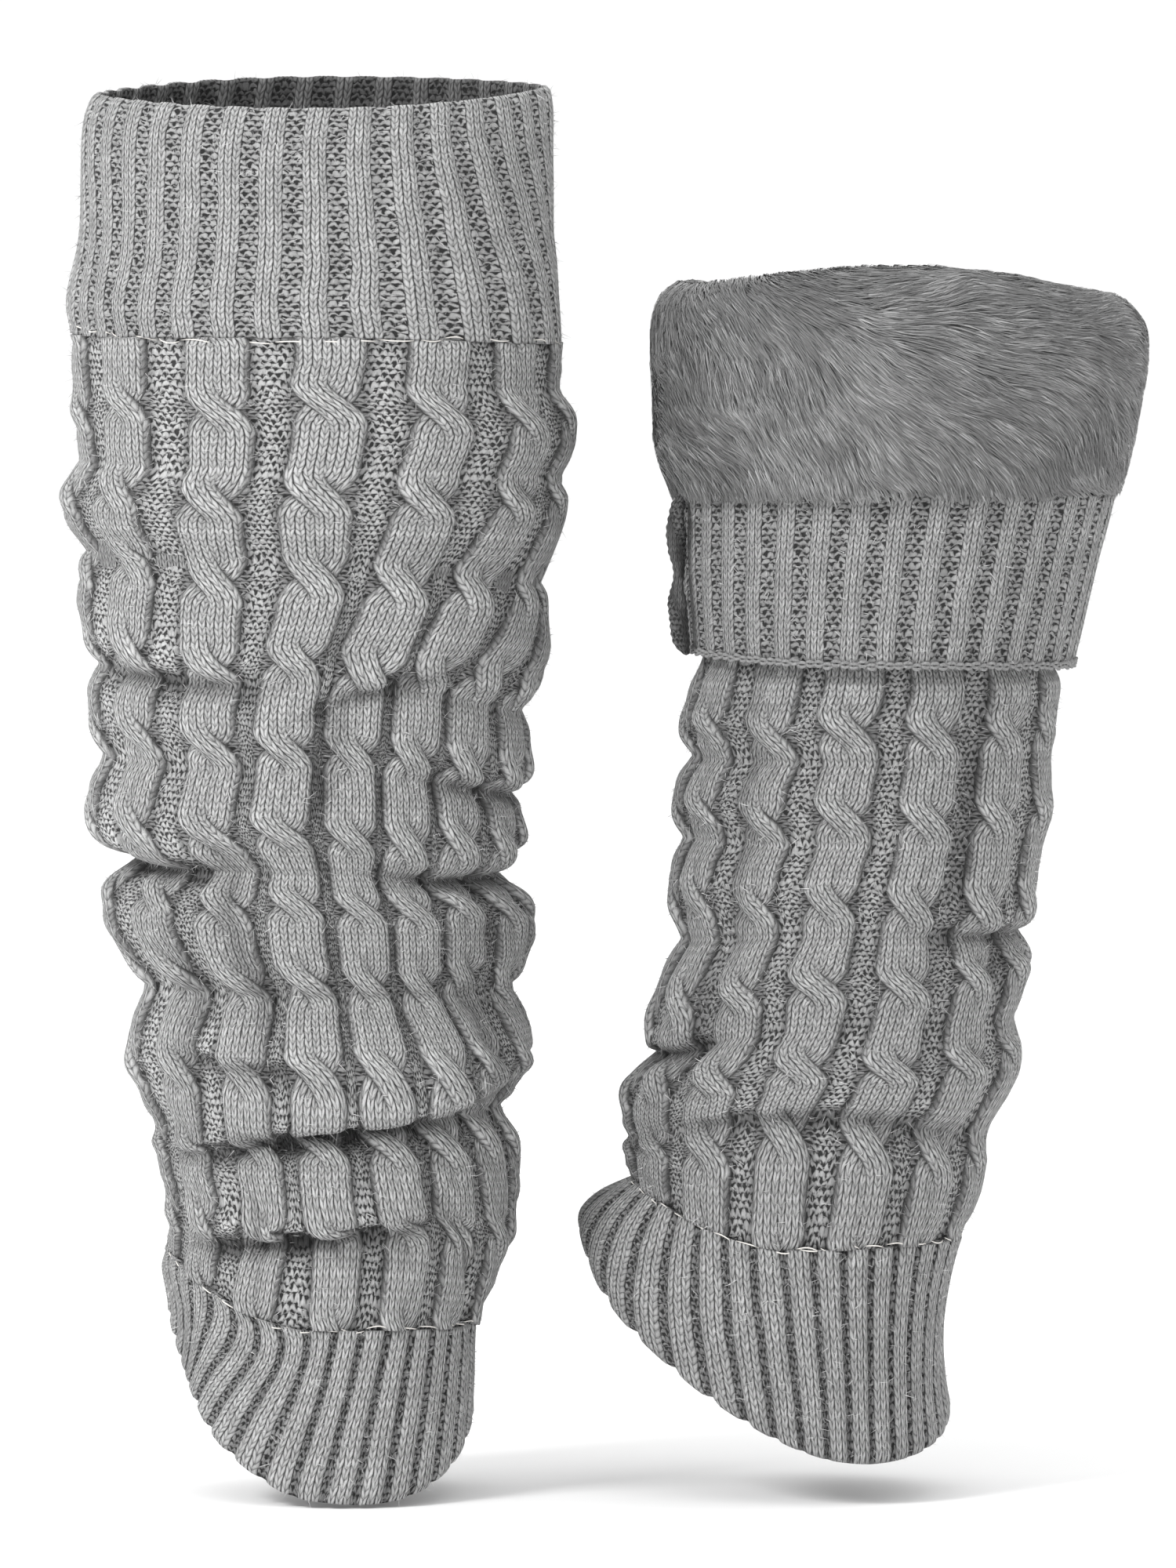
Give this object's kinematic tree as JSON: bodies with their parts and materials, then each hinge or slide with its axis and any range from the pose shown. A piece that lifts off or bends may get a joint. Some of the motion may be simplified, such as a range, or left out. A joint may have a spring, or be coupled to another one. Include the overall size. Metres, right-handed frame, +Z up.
{
  "type": "leg warmers",
  "caption": "Pair of cable-knit leg warmers in worn form: one tall and slouched, one with its fur-lined top turned down over a rib cuff, both flaring at the ankle.",
  "frame": {"origin": "the centre of the tall leg warmer's calf opening, where the wearer's leg holds it", "axes": "+Z up along the wearer's legs, -Y to the front, +X from the tall leg warmer to the short one"},
  "size_m": [0.2899, 0.1326, 0.375],
  "materials": {
    "knit": "matt mid-grey wool-like yarn, knitted in cables and ribs",
    "fur": "dark grey faux fur with a brushed pile and a soft sheen",
    "roll": "twisted dark and light grey yarn of a seam allowance"
  },
  "bodies": {
    "root": {"tall_top_rib": "knit", "tall_cable_body": "knit", "tall_ankle_rib": "knit", "short_fur_band": "fur", "short_turned_rib": "knit", "short_cuff_seam_roll": "roll", "short_cable_body": "knit", "short_ankle_rib": "knit"}
  },
  "joints": []
}
